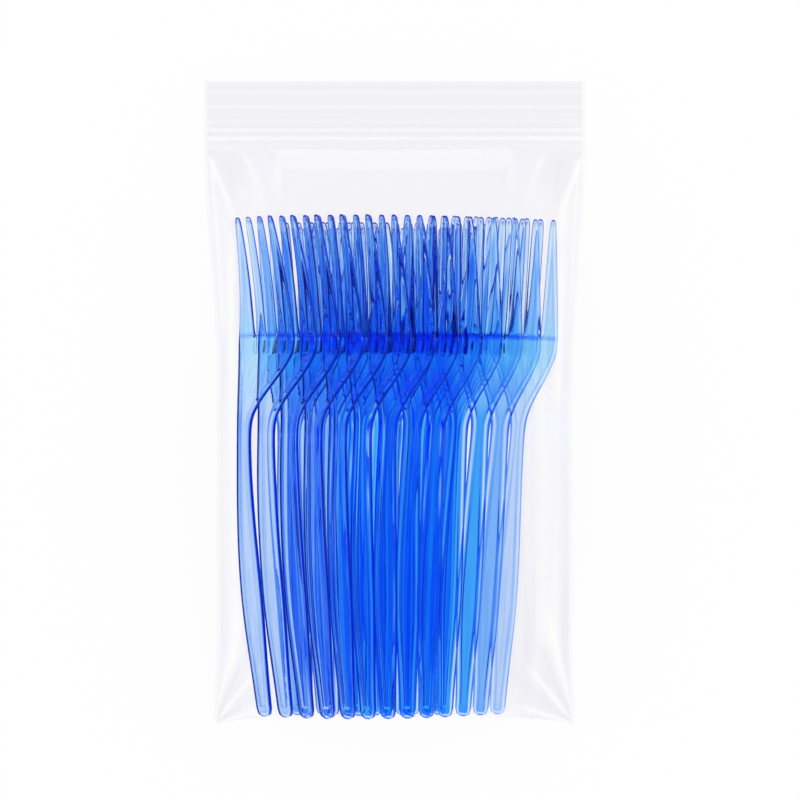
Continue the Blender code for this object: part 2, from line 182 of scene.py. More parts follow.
# Light on the film's folds: how much brighter, width, and points from the top down
FOLD_STROKES = (
    (1.0, 0.0011, ((-0.0634, 0.0846), (-0.0600, 0.0761), (-0.0566, 0.0685), (-0.0541, 0.0600))),
    (0.8, 0.0007, ((-0.0625, 0.0830), (-0.0608, 0.0617), (-0.0592, 0.0414), (-0.0580, 0.0200))),
    (0.9, 0.0016, ((-0.0548, 0.0620), (-0.0556, 0.0400), (-0.0556, 0.0150), (-0.0545, -0.0060))),
    (1.0, 0.0018, ((-0.0545, 0.0050), (-0.0535, -0.0300), (-0.0530, -0.0650), (-0.0540, -0.0980))),
    (-0.8, 0.0012, ((-0.0582, 0.0300), (-0.0578, -0.0200), (-0.0582, -0.0600), (-0.0585, -0.0950))),
    (1.0, 0.0012, ((0.0637, 0.0846), (0.0612, 0.0761), (0.0578, 0.0685), (0.0556, 0.0540))),
    (0.7, 0.0007, ((0.0630, 0.0830), (0.0612, 0.0600), (0.0602, 0.0300), (0.0598, -0.0100))),
    (0.9, 0.0014, ((0.0558, 0.0640), (0.0562, 0.0400), (0.0560, 0.0200), (0.0552, -0.0050))),
    (0.9, 0.0032, ((0.0500, 0.0120), (0.0516, -0.0200), (0.0520, -0.0600), (0.0506, -0.0960))),
    (-0.7, 0.0022, ((0.0468, 0.0080), (0.0464, -0.0300), (0.0458, -0.0700), (0.0450, -0.1000))),
    (-0.6, 0.0016, ((0.0580, 0.0300), (0.0575, -0.0200), (0.0578, -0.0600), (0.0582, -0.0950))),
)

# The photograph's frame
METRES_PER_PIXEL = 0.339e-3
PHOTO_WIDTH = 800 * METRES_PER_PIXEL
CAMERA_X = 5.5 * METRES_PER_PIXEL
CAMERA_Y = 2.0 * METRES_PER_PIXEL
CAMERA_ABOVE = 0.55
SENSOR = 36.0
PLANE = 0.0135

# Plastic: how much light one layer lets through, on top of its depth; the wall, edge, root and tip blues and
# the deeper handles are painted shade
WHITE = (1.0, 1.0, 1.0)
PAINTED_WALL_SHADE = (0.02, 0.12, 0.90)
PAINTED_EDGE_SHADE = (0.45, 0.68, 1.0)
STREAK_BLUE = (0.75, 0.86, 1.0)
PALE_HANDLE = (0.66, 0.77, 1.0)
# painted shade: deeper handles for forks inside and behind the pile
HALF_SHADED_HANDLE = (0.27, 0.54, 1.0)
SHADED_HANDLE = (0.07, 0.44, 1.0)
BEHIND_SHADED_HANDLE = (0.08, 0.50, 1.0)
HEAD_BLUE = (0.58, 0.86, 1.0)
PAINTED_ROOT_SHADE = (0.28, 0.50, 1.0)
TINE_BLUE = (0.68, 0.84, 1.0)
PAINTED_TIP_SHADE = (0.06, 0.22, 0.90)
VOLUME_BLUE = (0.0, 0.60, 0.999, 1.0)
VOLUME_DENSITY = 150.0
SURFACE_SHINE = (0.15, 0.15, 0.15, 1.0)
PLASTIC_IOR = 1.47
PLASTIC_ROUGHNESS = (0.02, 0.07)
PLASTIC_BUMP = 0.22
PLASTIC_BUMP_DEPTH = 0.00025
WALL_SLOPES = (0.12, 0.50)
WALL_CLEARNESS = (0.10, 1.0)
FLOW_RANGE = (0.35, 0.75)

# Colour stops: over a face's slope (painted shade on walls), along the fork's length (painted shade at roots
# and tips), in from its outline (painted highlight and painted shade), over the flow streaks
# painted shade: deep blue on upright walls, standing for the plastic's dark outlines
PAINTED_WALL_SHADE_STOPS = ((0.12, PAINTED_WALL_SHADE), (0.45, PAINTED_EDGE_SHADE), (0.75, WHITE))
HANDLE_STOP = 0.60
# painted shade: a thin dark line at the tines' roots, where the slots end
HEAD_STOPS = ((0.72, HEAD_BLUE), (0.758, HEAD_BLUE), (0.765, PAINTED_ROOT_SHADE), (0.773, HEAD_BLUE))
# painted shade: dark caps at the tines' tips
TINE_STOPS = ((0.82, TINE_BLUE), (0.984, TINE_BLUE), (0.992, PAINTED_TIP_SHADE))
# painted highlight: light lines along the rims and down the tines
PAINTED_RIM_HIGHLIGHT = (
    (0.16, (0.0, 0.0, 0.0)),
    (0.28, (0.75, 0.75, 0.75)),
    (0.38, (0.75, 0.75, 0.75)),
    (0.52, (0.0, 0.0, 0.0)),
)
# painted shade: a dark outline at the edge and a dark line at the rim's inner wall
PAINTED_RIM_SHADE = (
    (0.04, (0.10, 0.32, 1.0)),
    (0.20, WHITE),
    (0.50, WHITE),
    (0.66, (0.62, 0.80, 1.0)),
    (0.86, WHITE),
)
STREAK_STOPS = ((0.36, STREAK_BLUE), (0.56, WHITE))

# Noise scales across, along and up the piece
STREAK_SCALE = (950.0, 9.0, 300.0)
FLOW_SCALE = (260.0, 24.0, 260.0)
RIPPLE_SCALE = (150.0, 18.0, 60.0)

# Forks whose handles get painted shade because they lie over the thick middle of the pile, and the front
# row's count
HALF_SHADED_FORKS = (5, 12, 14, 15, 20, 21)
SHADED_FORKS = (6, 7, 8, 9, 10, 11)
FRONT_FORKS = 13

# Film: tints of the light that passes through, and its look
FILM_TINT = (0.980, 0.977, 0.996)
WELD_TINT = (0.982, 0.980, 0.990)
ZIP_TINT = (0.996, 0.995, 1.0)
MILK = (0.985, 0.98, 0.99, 1.0)
HOLLOW_SHADE = 0.985
FILM_BUMP_DEPTH = 0.0012

# Stage: the floor, and what reflections see from just over the floor up to overhead
FLOOR_REACH = 3
FLOOR_LEVEL = -0.0005
FLOOR_PAPER = (0.9, 0.9, 0.9, 1.0)
FLOOR_GLOW = 0.92
REFLECTED_HEIGHTS = (0.10, 0.55)
REFLECTED_LIGHT = (1.0, 0.06)
STRIPS = (("left_strip", -0.75), ("right_strip", 0.75))
STRIP_HEIGHT = 0.22
STRIP_SIZE = (0.06, 1.2)
STRIP_POWER = 1.0
PACK_MIDDLE = (0, 0, 0.02)


def smooth(t):
    t = min(max(t, 0.0), 1.0)
    return t * t * (3 - 2 * t)


def smooth_all(t):
    t = np.clip(t, 0.0, 1.0)
    return t * t * (3 - 2 * t)


def blend(ends, t):
    return ends[0] + (ends[1] - ends[0]) * t


# Material nodes


def new_material(name):
    """An empty material, its node tree and its output node."""
    material = bpy.data.materials.new(name)
    material.use_nodes = True
    tree = material.node_tree
    tree.nodes.clear()
    return material, tree, tree.nodes.new("ShaderNodeOutputMaterial")


def add(tree, kind, **inputs):
    """A node with its inputs set; an underscore in a name stands for a space."""
    node = tree.nodes.new(kind)
    for key, value in inputs.items():
        node.inputs[key.replace("_", " ")].default_value = value
    return node


def calculated(tree, operation, *values):
    """A Math node's result; each value is a number or another node's output."""
    node = tree.nodes.new("ShaderNodeMath")
    node.operation = operation
    for socket, value in zip(node.inputs, values):
        if isinstance(value, bpy.types.NodeSocket):
            tree.links.new(value, socket)
        else:
            socket.default_value = value
    return node.outputs["Value"]


def mapped(tree, source, inside, outside):
    """A number taken from one range to another, and held at its ends."""
    node = tree.nodes.new("ShaderNodeMapRange")
    node.inputs["From Min"].default_value = inside[0]
    node.inputs["From Max"].default_value = inside[1]
    node.inputs["To Min"].default_value = outside[0]
    node.inputs["To Max"].default_value = outside[1]
    tree.links.new(source, node.inputs["Value"])
    return node.outputs["Result"]


def ramp(tree, source, stops):
    """A colour ramp over a number, with (place, colour) stops."""
    node = tree.nodes.new("ShaderNodeValToRGB")
    steps = node.color_ramp.elements
    steps[0].position = stops[0][0]
    steps[0].color = (*stops[0][1], 1.0)
    steps[1].position = stops[-1][0]
    steps[1].color = (*stops[-1][1], 1.0)
    for at, colour in stops[1:-1]:
        steps.new(at).color = (*colour, 1.0)
    tree.links.new(source, node.inputs["Fac"])
    return node.outputs["Color"]


def multiplied(tree, first, second):
    """Two colours, one times the other."""
    node = tree.nodes.new("ShaderNodeMix")
    node.data_type = "RGBA"
    node.blend_type = "MULTIPLY"
    node.inputs[0].default_value = 1.0
    tree.links.new(first, node.inputs[6])
    tree.links.new(second, node.inputs[7])
    return node.outputs[2]


def whitened(tree, factor, colour):
    """A colour, taken towards white by a factor."""
    node = tree.nodes.new("ShaderNodeMix")
    node.data_type = "RGBA"
    tree.links.new(factor, node.inputs[0])
    tree.links.new(colour, node.inputs[6])
    node.inputs[7].default_value = (*WHITE, 1.0)
    return node.outputs[2]


def mixed_shaders(tree, factor, first, second):
    """Two shaders mixed by a number or by another node's output."""
    node = tree.nodes.new("ShaderNodeMixShader")
    if isinstance(factor, bpy.types.NodeSocket):
        tree.links.new(factor, node.inputs["Fac"])
    else:
        node.inputs["Fac"].default_value = factor
    tree.links.new(first, node.inputs[1])
    tree.links.new(second, node.inputs[2])
    return node.outputs["Shader"]


def coordinate(tree, kind, axis):
    """One axis of a texture coordinate."""
    place = tree.nodes.new("ShaderNodeTexCoord")
    parts = tree.nodes.new("ShaderNodeSeparateXYZ")
    tree.links.new(place.outputs[kind], parts.inputs["Vector"])
    return parts.outputs[axis]


def attribute(tree, name):
    node = tree.nodes.new("ShaderNodeAttribute")
    node.attribute_name = name
    return node.outputs["Fac"]


def stretched_noise(tree, scale, detail, roughness):
    """Noise with its own scale across, along and up the piece."""
    place = tree.nodes.new("ShaderNodeTexCoord")
    stretch = tree.nodes.new("ShaderNodeMapping")
    stretch.inputs["Scale"].default_value = scale
    tree.links.new(place.outputs["Object"], stretch.inputs["Vector"])
    noise = add(tree, "ShaderNodeTexNoise", Scale=1.0, Detail=detail, Roughness=roughness)
    tree.links.new(stretch.outputs["Vector"], noise.inputs["Vector"])
    return noise.outputs["Fac"]


def bumped(tree, height, strength, distance):
    bump = add(tree, "ShaderNodeBump", Strength=strength, Distance=distance)
    tree.links.new(height, bump.inputs["Height"])
    return bump.outputs["Normal"]


# Materials


def face_slope(tree):
    """1 on a fork's faces, 0 on its upright walls, where light comes out of the plastic's length; it sets
    the painted shade on the walls.
    """
    return calculated(tree, "ABSOLUTE", coordinate(tree, "Normal", "Z"))


def plastic_colour(tree, handle):
    """Deeper in the handle, with painted shade on upright walls, at the tines' roots and tips and along the
    outline, and painted highlight lines in from the outline; the deeper handles of forks inside the pile are
    painted shade too.
    """
    # painted shade: deep blue on the upright walls for the dark outlines
    painted_wall_shade = ramp(tree, face_slope(tree), PAINTED_WALL_SHADE_STOPS)
    share_of_length = calculated(tree, "DIVIDE", coordinate(tree, "Object", "Y"), FORK_LENGTH)
    length = ramp(tree, share_of_length, ((HANDLE_STOP, handle), *HEAD_STOPS, *TINE_STOPS))
    rim = attribute(tree, "inset")
    # painted highlight lines along the rims and tines
    length = whitened(tree, ramp(tree, rim, PAINTED_RIM_HIGHLIGHT), length)
    # painted shade along the outline and the rim's inner wall
    length = multiplied(tree, length, ramp(tree, rim, PAINTED_RIM_SHADE))
    streaks = ramp(tree, stretched_noise(tree, STREAK_SCALE, 2.0, 0.5), STREAK_STOPS)
    return multiplied(tree, multiplied(tree, painted_wall_shade, length), streaks)


def fork_material(name, handle):
    """See-through blue plastic with long flow marks, less clear on its upright walls, where their painted
    shade shows.
    """
    material, tree, out = new_material(name)
    shader = add(tree, "ShaderNodeBsdfPrincipled", IOR=PLASTIC_IOR, Specular_Tint=SURFACE_SHINE)
    clear = mapped(tree, face_slope(tree), WALL_SLOPES, WALL_CLEARNESS)
    flow = stretched_noise(tree, FLOW_SCALE, 3.0, 0.5)
    scuff = mapped(tree, flow, FLOW_RANGE, PLASTIC_ROUGHNESS)
    normal = bumped(tree, flow, PLASTIC_BUMP, PLASTIC_BUMP_DEPTH)
    tree.links.new(plastic_colour(tree, handle), shader.inputs["Base Color"])
    tree.links.new(clear, shader.inputs["Transmission Weight"])
    tree.links.new(scuff, shader.inputs["Roughness"])
    tree.links.new(normal, shader.inputs["Normal"])
    absorb = add(tree, "ShaderNodeVolumeAbsorption", Color=VOLUME_BLUE, Density=VOLUME_DENSITY)
    tree.links.new(shader.outputs["BSDF"], out.inputs["Surface"])
    tree.links.new(absorb.outputs["Volume"], out.inputs["Volume"])
    return material


def see_through(tree, fold, tint, haze):
    """Clear film, whiter on its ridges and greyer in its hollows, with a share of milk."""
    hollow = tuple(c * HOLLOW_SHADE for c in tint)
    lightness = mapped(tree, fold, (-1.0, 1.0), (0.0, 1.0))
    clear = tree.nodes.new("ShaderNodeBsdfTransparent")
    shade = ramp(tree, lightness, ((0.0, hollow), (0.5, tint), (1.0, WHITE)))
    tree.links.new(shade, clear.inputs["Color"])
    milk = add(tree, "ShaderNodeBsdfDiffuse", Color=MILK)
    return mixed_shaders(tree, haze, clear.outputs["BSDF"], milk.outputs["BSDF"])


def film_material(name, tint, haze, gloss_rough, ripple=0.12, low_glint=0.035, rim_glint=0.75):
    """Thin clear film: light passes straight through, and glancing light glints on its wrinkles."""
    material, tree, out = new_material(name)
    fold = attribute(tree, "fold_light")
    waves = stretched_noise(tree, RIPPLE_SCALE, 4.0, 0.55)
    normal = bumped(tree, waves, ripple, FILM_BUMP_DEPTH)
    gloss = add(tree, "ShaderNodeBsdfGlossy", Roughness=gloss_rough, Color=(*WHITE, 1.0))
    tree.links.new(normal, gloss.inputs["Normal"])
    tilt = add(tree, "ShaderNodeLayerWeight", Blend=0.5)
    tree.links.new(normal, tilt.inputs["Normal"])
    rim = calculated(tree, "POWER", tilt.outputs["Facing"], 4.0)
    low = mapped(tree, fold, (0.0, 1.0), (low_glint, 0.0))
    glint = calculated(tree, "MULTIPLY_ADD", rim, rim_glint, low)
    film = mixed_shaders(tree, glint, see_through(tree, fold, tint, haze), gloss.outputs["BSDF"])
    tree.links.new(film, out.inputs["Surface"])
    return material


def floor_material():
    """White paper: plain white behind clear things, and it keeps a faint shadow."""
    material, tree, out = new_material("white_floor")
    paper = add(tree, "ShaderNodeBsdfDiffuse", Color=FLOOR_PAPER)
    glow = add(tree, "ShaderNodeEmission", Strength=1.0, Color=(*WHITE, 1.0))
    shaded = mixed_shaders(tree, FLOOR_GLOW, paper.outputs["BSDF"], glow.outputs["Emission"])
    path = tree.nodes.new("ShaderNodeLightPath")
    through = calculated(tree, "MAXIMUM", path.outputs["Is Glossy Ray"], path.outputs["Is Transmission Ray"])
    either = mixed_shaders(tree, through, shaded, glow.outputs["Emission"])
    tree.links.new(either, out.inputs["Surface"])
    return material


# Fork: the CAD fork's own cage, rounded by subdivision


def rise(y):
    if y <= NECK_AT:
        return NECK_RISE * math.sin(math.pi / 2 * y / NECK_AT)
    if y <= HEAD_AT:
        return NECK_RISE * (1 - smooth((y - NECK_AT) / (HEAD_AT - NECK_AT)))
    return TIP_RISE * ((y - HEAD_AT) / (FORK_LENGTH - HEAD_AT)) ** 1.6


def half_width(y):
    radius = END_WIDTH / 2
    if y < radius:
        return math.sqrt(radius**2 - (radius - y) ** 2) * 0.75 + radius * 0.25
    if y <= WIDEST_AT:
        return blend((END_WIDTH, HANDLE_WIDTH), smooth((y - radius) / (WIDEST_AT - radius))) / 2
    if y <= NECK_AT:
        return blend((HANDLE_WIDTH, NECK_WIDTH), smooth((y - WIDEST_AT) / (NECK_AT - WIDEST_AT))) / 2
    return blend((NECK_WIDTH, HEAD_WIDTH), smooth((y - NECK_AT) / (HEAD_AT - NECK_AT))) / 2


def along_tine(y):
    return (y - SLOT_END_AT) / (FORK_LENGTH - SLOT_END_AT)


def tine_sides(index, y):
    gap = blend((SLOT_ROOT, SLOT_PITCH - TINE_TIP_WIDTH), along_tine(y)) / 2
    outer_tip = 2 * SLOT_PITCH - (SLOT_PITCH - TINE_TIP_WIDTH) / 2 - TIP_LEAN
    outer = blend((HEAD_WIDTH / 2, outer_tip), along_tine(y))
    edges = (-outer, -SLOT_PITCH, 0.0, SLOT_PITCH, outer)
    left = edges[index] + (gap if index else 0.0)
    right = edges[index + 1] - (gap if index < 3 else 0.0)
    return left, right


class Slab:
    """A closed solid made of stations along Y, each a row of points with a low and a high end."""

    def __init__(self):
        self.points = []
        self.faces = []

    def station(self, y, across, tops):
        low = []
        high = []
        for x, top in zip(across, tops):
            low.append(len(self.points))
            self.points.append((x, y, rise(y)))
            high.append(len(self.points))
            self.points.append((x, y, rise(y) + top))
        return low, high

    def join(self, near, far):
        for i in range(len(near[0]) - 1):
            self.faces.append((near[0][i], far[0][i], far[0][i + 1], near[0][i + 1]))
            self.faces.append((near[1][i], near[1][i + 1], far[1][i + 1], far[1][i]))
        self.side_walls(near, far)

    def side_walls(self, near, far):
        self.faces.append((near[0][0], near[1][0], far[1][0], far[0][0]))
        self.faces.append((near[0][-1], far[0][-1], far[1][-1], near[1][-1]))

    def bridge(self, near, far, pairs):
        """Joins two stations with different counts, from each pair of points to the next."""
        for (a, b), (c, d) in zip(pairs, pairs[1:]):
            self.faces.append((*reversed(near[0][a : c + 1]), *far[0][b : d + 1]))
            self.faces.append((*near[1][a : c + 1], *reversed(far[1][b : d + 1])))
        self.side_walls(near, far)

    def wall(self, station, first, last, towards_tips):
        face = (*station[0][first : last + 1], *reversed(station[1][first : last + 1]))
        self.faces.append(face[::-1] if towards_tips else face)


def handle_stations():
    radius = END_WIDTH / 2
    ys = [0.0, radius * 0.3, radius, END_RECESS, END_RECESS + RIM_SLOPE]
    ys += list(np.linspace(WIDEST_AT * 0.4, NECK_AT, 8))
    ys += list(np.linspace(NECK_AT, SLOT_END_AT - GROOVE_LENGTH, 6)[1:-1])
    for y in ys:
        half = half_width(y)
        inner = half - min(RIM_WIDTH, half * 0.6)
        floor = inner - min(RIM_SLOPE, inner * 0.5)
        middle = FLOOR_THICKNESS if y > END_RECESS else FORK_THICKNESS
        tops = (FORK_THICKNESS, FORK_THICKNESS, middle, middle, FORK_THICKNESS, FORK_THICKNESS)
        yield y, (-half, -inner, -floor, floor, inner, half), tops


def head_across(y, slot=SLOT_ROOT):
    half = half_width(y)
    slots = [c * SLOT_PITCH + side * slot / 2 for c in (-1, 0, 1) for side in (-1, 0, 1)]
    return [-half, RIM_WIDTH - half, *slots, half - RIM_WIDTH, half]


def add_tines(slab, root):
    columns = ((0, 1, 2), (4, 5), (7, 8), (10, 11, 12))
    length = FORK_LENGTH - SLOT_END_AT
    ys = [SLOT_END_AT + length * 0.35, SLOT_END_AT + length * 0.7]
    ys += [FORK_LENGTH - TINE_TIP_WIDTH * 0.4, FORK_LENGTH]
    for index, used in enumerate(columns):
        near = ([root[0][c] for c in used], [root[1][c] for c in used])
        for y in ys:
            left, right = tine_sides(index, y)
            taper = TIP_TAPER if y == FORK_LENGTH else 1.0
            middle = (left + right) / 2
            half = (right - left) / 2 * taper
            across = np.linspace(middle - half, middle + half, len(used))
            thickness = blend((FORK_THICKNESS, TINE_TIP_THICKNESS), along_tine(y))
            far = slab.station(y, [float(x) for x in across], [thickness] * len(used))
            slab.join(near, far)
            near = far
        slab.wall(near, 0, len(used) - 1, towards_tips=True)


def fork_cage(groove_width=SLOT_ROOT, groove_floor=FLOOR_THICKNESS):
    """The fork's points and faces, from the handle's end to the tips."""
    slab = Slab()
    stations = [slab.station(*given) for given in handle_stations()]
    slab.wall(stations[0], 0, 5, towards_tips=False)
    for near, far in zip(stations, stations[1:]):
        slab.join(near, far)
    floor_y = SLOT_END_AT - GROOVE_LENGTH
    groove_y = floor_y + RIM_SLOPE * 2
    rim = [FORK_THICKNESS, FORK_THICKNESS]
    grooves = [*rim, *[FORK_THICKNESS, groove_floor, FORK_THICKNESS] * 3, *rim]
    flat = [*rim, *[FLOOR_THICKNESS] * 9, *rim]
    first = slab.station(floor_y, head_across(floor_y, groove_width), flat)
    second = slab.station(groove_y, head_across(groove_y, groove_width), grooves)
    root = slab.station(SLOT_END_AT, head_across(SLOT_END_AT), grooves)
    slab.bridge(stations[-1], first, ((0, 0), (1, 1), (2, 2), (3, 10), (4, 11), (5, 12)))
    slab.join(first, second)
    slab.join(second, root)
    for slot in (2, 5, 8):
        slab.wall(root, slot, slot + 2, towards_tips=True)
    add_tines(slab, root)
    return slab.points, slab.faces


def inset(x, y):
    """Distance from the fork's outline, or from its tine's, up to the reach of the rim's painted highlight
    and painted shade.
    """
    if y <= SLOT_END_AT:
        side = half_width(y) - abs(x)
    else:
        ends = [tine_sides(i, y) for i in range(4)]
        side = max(min(x - left, right - x) for left, right in ends)
    return min(max(min(side, y, FORK_LENGTH - y), 0.0), RIM_REACH)


def crease_edges(mesh):
    """Holds the sharp edges near their place while the cage is rounded, the tines' edges less."""
    crease = mesh.attributes.new("crease_edge", "FLOAT", "EDGE")
    normals = {}
    for face in mesh.polygons:
        for key in face.edge_keys:
            normals.setdefault(key, []).append(face.normal.copy())
    for index, edge in enumerate(mesh.edges):
        pair = normals[tuple(sorted(edge.vertices))]
        on_tine = min(mesh.vertices[v].co.y for v in edge.vertices) >= SLOT_END_AT
        hold = TINE_CREASE if on_tine else CREASE
        crease.data[index].value = hold if pair[0].angle(pair[1], 0.0) > SHARP_TURN else 0.0


def moulded(points, faces):
    """The cage with every edge rounded to a small radius."""
    mesh = bpy.data.meshes.new("fork_cage")
    mesh.from_pydata(points, [], faces)
    crease_edges(mesh)
    obj = bpy.data.objects.new("fork_cage", mesh)
    bpy.context.scene.collection.objects.link(obj)
    rounding = obj.modifiers.new("rounding", "SUBSURF")
    rounding.levels = 2
    rounding.render_levels = 2
    graph = bpy.context.evaluated_depsgraph_get()
    rounded = bpy.data.meshes.new_from_object(obj.evaluated_get(graph))
    bpy.data.objects.remove(obj, do_unlink=True)
    rounded.shade_smooth()
    insets = [inset(v.co.x, v.co.y) / RIM_REACH for v in rounded.vertices]
    rounded.attributes.new("inset", "FLOAT", "POINT").data.foreach_set("value", insets)
    return rounded


def wide_necked(shape):
    """The fork with a little more width round its neck, for the forks inside the pile."""
    wide = shape.copy()
    for vertex in wide.vertices:
        away = (vertex.co.y - NECK_SPREAD_AT) / NECK_SPREAD_RUN
        vertex.co.x *= 1 + NECK_SPREAD * math.exp(-(away**2))
    return wide


def moments(points, triangles):
    """Centre and covariance of a surface, its triangles' middles about that centre, and their areas."""
    corners = points[triangles]
    sides = np.cross(corners[:, 1] - corners[:, 0], corners[:, 2] - corners[:, 0])
    areas = np.linalg.norm(sides, axis=1) / 2
    middles = corners.mean(axis=1)
    centre = (middles * areas[:, None]).sum(axis=0) / areas.sum()
    corners = corners - centre
    middles = middles - centre
    spread = np.einsum("t,tci,tcj->ij", areas / 12, corners, corners)
    spread += np.einsum("t,ti,tj->ij", areas * 9 / 12, middles, middles)
    return centre, spread / areas.sum(), middles, areas


def own_frame(points, triangles):
    """A fork's own axes and centre: Y along it to the tines, Z up out of its face."""
    centre, spread, middles, areas = moments(points, triangles)
    axes = np.linalg.eigh(spread)[1]
    skew = [(areas * (middles @ axes[:, i]) ** 3).sum() for i in range(3)]
    along = axes[:, 2] * np.sign(skew[2])
    up = 0 if abs(skew[0]) > abs(skew[1]) else 1
    upward = axes[:, up] * np.sign(skew[up])
    frame = np.eye(4)
    frame[:3, 0] = np.cross(along, upward)
    frame[:3, 1] = along
    frame[:3, 2] = upward
    frame[:3, 3] = centre
    return frame


def read_mesh(obj):
    mesh = obj.data
    mesh.calc_loop_triangles()
    points = np.empty(len(mesh.vertices) * 3)
    mesh.vertices.foreach_get("co", points)
    triangles = np.empty(len(mesh.loop_triangles) * 3, np.int64)
    mesh.loop_triangles.foreach_get("vertices", triangles)
    return points.reshape(-1, 3), triangles.reshape(-1, 3)


def fan(faces):
    """Triangles of each face, all from its first point."""
    return np.array([(f[0], f[i], f[i + 1]) for f in faces for i in range(1, len(f) - 1)])


def dyed(shape, name, handle):
    mesh = shape.copy()
    mesh.materials.append(fork_material(name, handle))
    return mesh


def depth_of_painted_shade(number):
    """Painted shade: the forks over the thick middle of the pile get deeper handles, and those behind deeper
    still.
    """
    if number in HALF_SHADED_FORKS:
        return 1
    if number in SHADED_FORKS:
        return 2
    return 3 if number > FRONT_FORKS else 0


def fork_names(nodes):
    return sorted(name for name in nodes if name.startswith("fork_"))


def add_piece(name, mesh, node):
    """A piece of the scene that stands for a CAD node and rides with it."""
    obj = bpy.data.objects.new(name, mesh)
    bpy.context.scene.collection.objects.link(obj)
    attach(obj, "root")
    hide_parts(node)
    return obj


def dress_forks(nodes):
    """Puts a rounded fork in each CAD fork's own place."""
    points, faces = fork_cage()
    shape = moulded(*fork_cage(GROOVE_WIDTH, GROOVE_FLOOR))
    wide = wide_necked(shape)
    outer = dyed(shape, "blue_plastic_outer", PALE_HANDLE)
    # copies of one plastic, with painted shade on the handles of forks inside the pile
    looks = [
        dyed(wide, "blue_plastic_clear", PALE_HANDLE),
        dyed(wide, "blue_plastic_half_shaded", HALF_SHADED_HANDLE),
        dyed(wide, "blue_plastic_shaded", SHADED_HANDLE),
        dyed(wide, "blue_plastic_behind_shaded", BEHIND_SHADED_HANDLE),
    ]
    cage_frame = own_frame(np.array(points), fan(faces))
    for name in fork_names(nodes):
        number = int(name[-2:])
        look = outer if number in (1, FRONT_FORKS) else looks[depth_of_painted_shade(number)]
        fork = add_piece("moulded_" + name, look, name)
        fork.matrix_world = Matrix(own_frame(*read_mesh(nodes[name])) @ np.linalg.inv(cage_frame))


# Bag: where its film lies


def half_bag(y):
    waist = smooth_all((BAG_HEIGHT - LIP_HEIGHT - y) / WAIST_RUN)
    corner = 1 - smooth_all(y / CORNER_RUN)
    return BAG_WIDTH / 2 - WAIST * waist + CORNER_FLARE * corner


def seam_level(heights):
    return blend((SEAM_LEVEL, LIP_LEVEL), smooth_all(heights / (BAG_HEIGHT - LIP_HEIGHT)))


def pile_heights(xs, ys, nodes):
    """Top and bottom of the pile of forks over each point of the grid, or none."""
    points = []
    faces = []
    for name in fork_names(nodes):
        own, triangles = read_mesh(nodes[name])
        faces += (triangles + len(points)).tolist()
        points += own.tolist()
    tree = BVHTree.FromPolygons(points, faces)
    top = np.full(xs.shape, -1.0)
    low = np.full(xs.shape, 1.0)
    for index in np.ndindex(xs.shape):
        start = Vector((xs[index], ys[index], ABOVE_ALL))
        hit = tree.ray_cast(start, Vector((0, 0, -1)))[0]
        if hit:
            top[index] = hit.z
            start.z = -ABOVE_ALL
            low[index] = tree.ray_cast(start, Vector((0, 0, 1)))[0].z
    return top, low


def widest(values, reach):
    """Highest value within reach along each row."""
    out = values.copy()
    for shift in range(1, reach + 1):
        out[:, shift:] = np.maximum(out[:, shift:], values[:, :-shift])
        out[:, :-shift] = np.maximum(out[:, :-shift], values[:, shift:])
    return out


def room_for_film(heights, xs, ys, nodes):
    """The lowest level of the front sheet and the highest of the back sheet, clear of the forks."""
    top, low = pile_heights(xs, ys, nodes)
    over = np.maximum(widest(top, PILE_MARGIN) + FRONT_CLEARANCE, FILM_LOW)
    below = np.maximum(-widest(-low, PILE_MARGIN) - BACK_CLEARANCE, FILM_LOW)
    along = (heights > REST_ENDS[0]) & (heights < REST_ENDS[1])
    rests = (abs(xs) < REST_WIDTH / 2) & along[:, None]
    return over, np.where(rests, FILM_LOW, below)


def taut(start, floor, ceiling, fixed, spacing, passes):
    """Film drawn tight: each point at its neighbours' mean, kept between floor and ceiling."""
    z = start.copy()
    wx = 1 / (BAG_WIDTH / COLUMNS * spacing) ** 2
    wy = 1 / (BAG_HEIGHT / ROWS * spacing) ** 2
    held = fixed[1:-1, 1:-1]
    for _ in range(passes):
        across = z[1:-1, :-2] + z[1:-1, 2:]
        along = z[:-2, 1:-1] + z[2:, 1:-1]
        mean = (wx * across + wy * along) / (2 * wx + 2 * wy)
        moved = np.clip(mean, floor[1:-1, 1:-1], ceiling[1:-1, 1:-1])
        z[1:-1, 1:-1] = np.where(held, z[1:-1, 1:-1], moved)
    return z


def refined(rough, shape):
    """The coarse grid, read between its points at each point of the fine one."""
    rows = np.arange(shape[0]) / COARSE
    cols = np.arange(shape[1]) / COARSE
    first = np.clip(rows.astype(int), 0, rough.shape[0] - 2)
    left = np.clip(cols.astype(int), 0, rough.shape[1] - 2)
    v = np.clip(rows - first, 0, 1)[:, None]
    u = np.clip(cols - left, 0, 1)[None, :]
    near = rough[first][:, left] * (1 - u) + rough[first][:, left + 1] * u
    far = rough[first + 1][:, left] * (1 - u) + rough[first + 1][:, left + 1] * u
    return near * (1 - v) + far * v


def settled(start, floor, ceiling, fixed):
    """Settles a coarse grid first, so that the fine one starts near its rest."""
    part = (slice(None, None, COARSE), slice(None, None, COARSE))
    rough = taut(start[part], floor[part], ceiling[part], fixed[part], COARSE, FILM_PASSES)
    near = np.where(fixed, start, np.clip(refined(rough, start.shape), floor, ceiling))
    return taut(near, floor, ceiling, fixed, 1, FILM_PASSES // 3)


# Bag: its creases, and how light they look


def ridge(distance, width):
    """A sharp-ridged fold: 1 on its line, falling to 0 on both sides."""
    return np.exp(-np.abs(distance) / width)


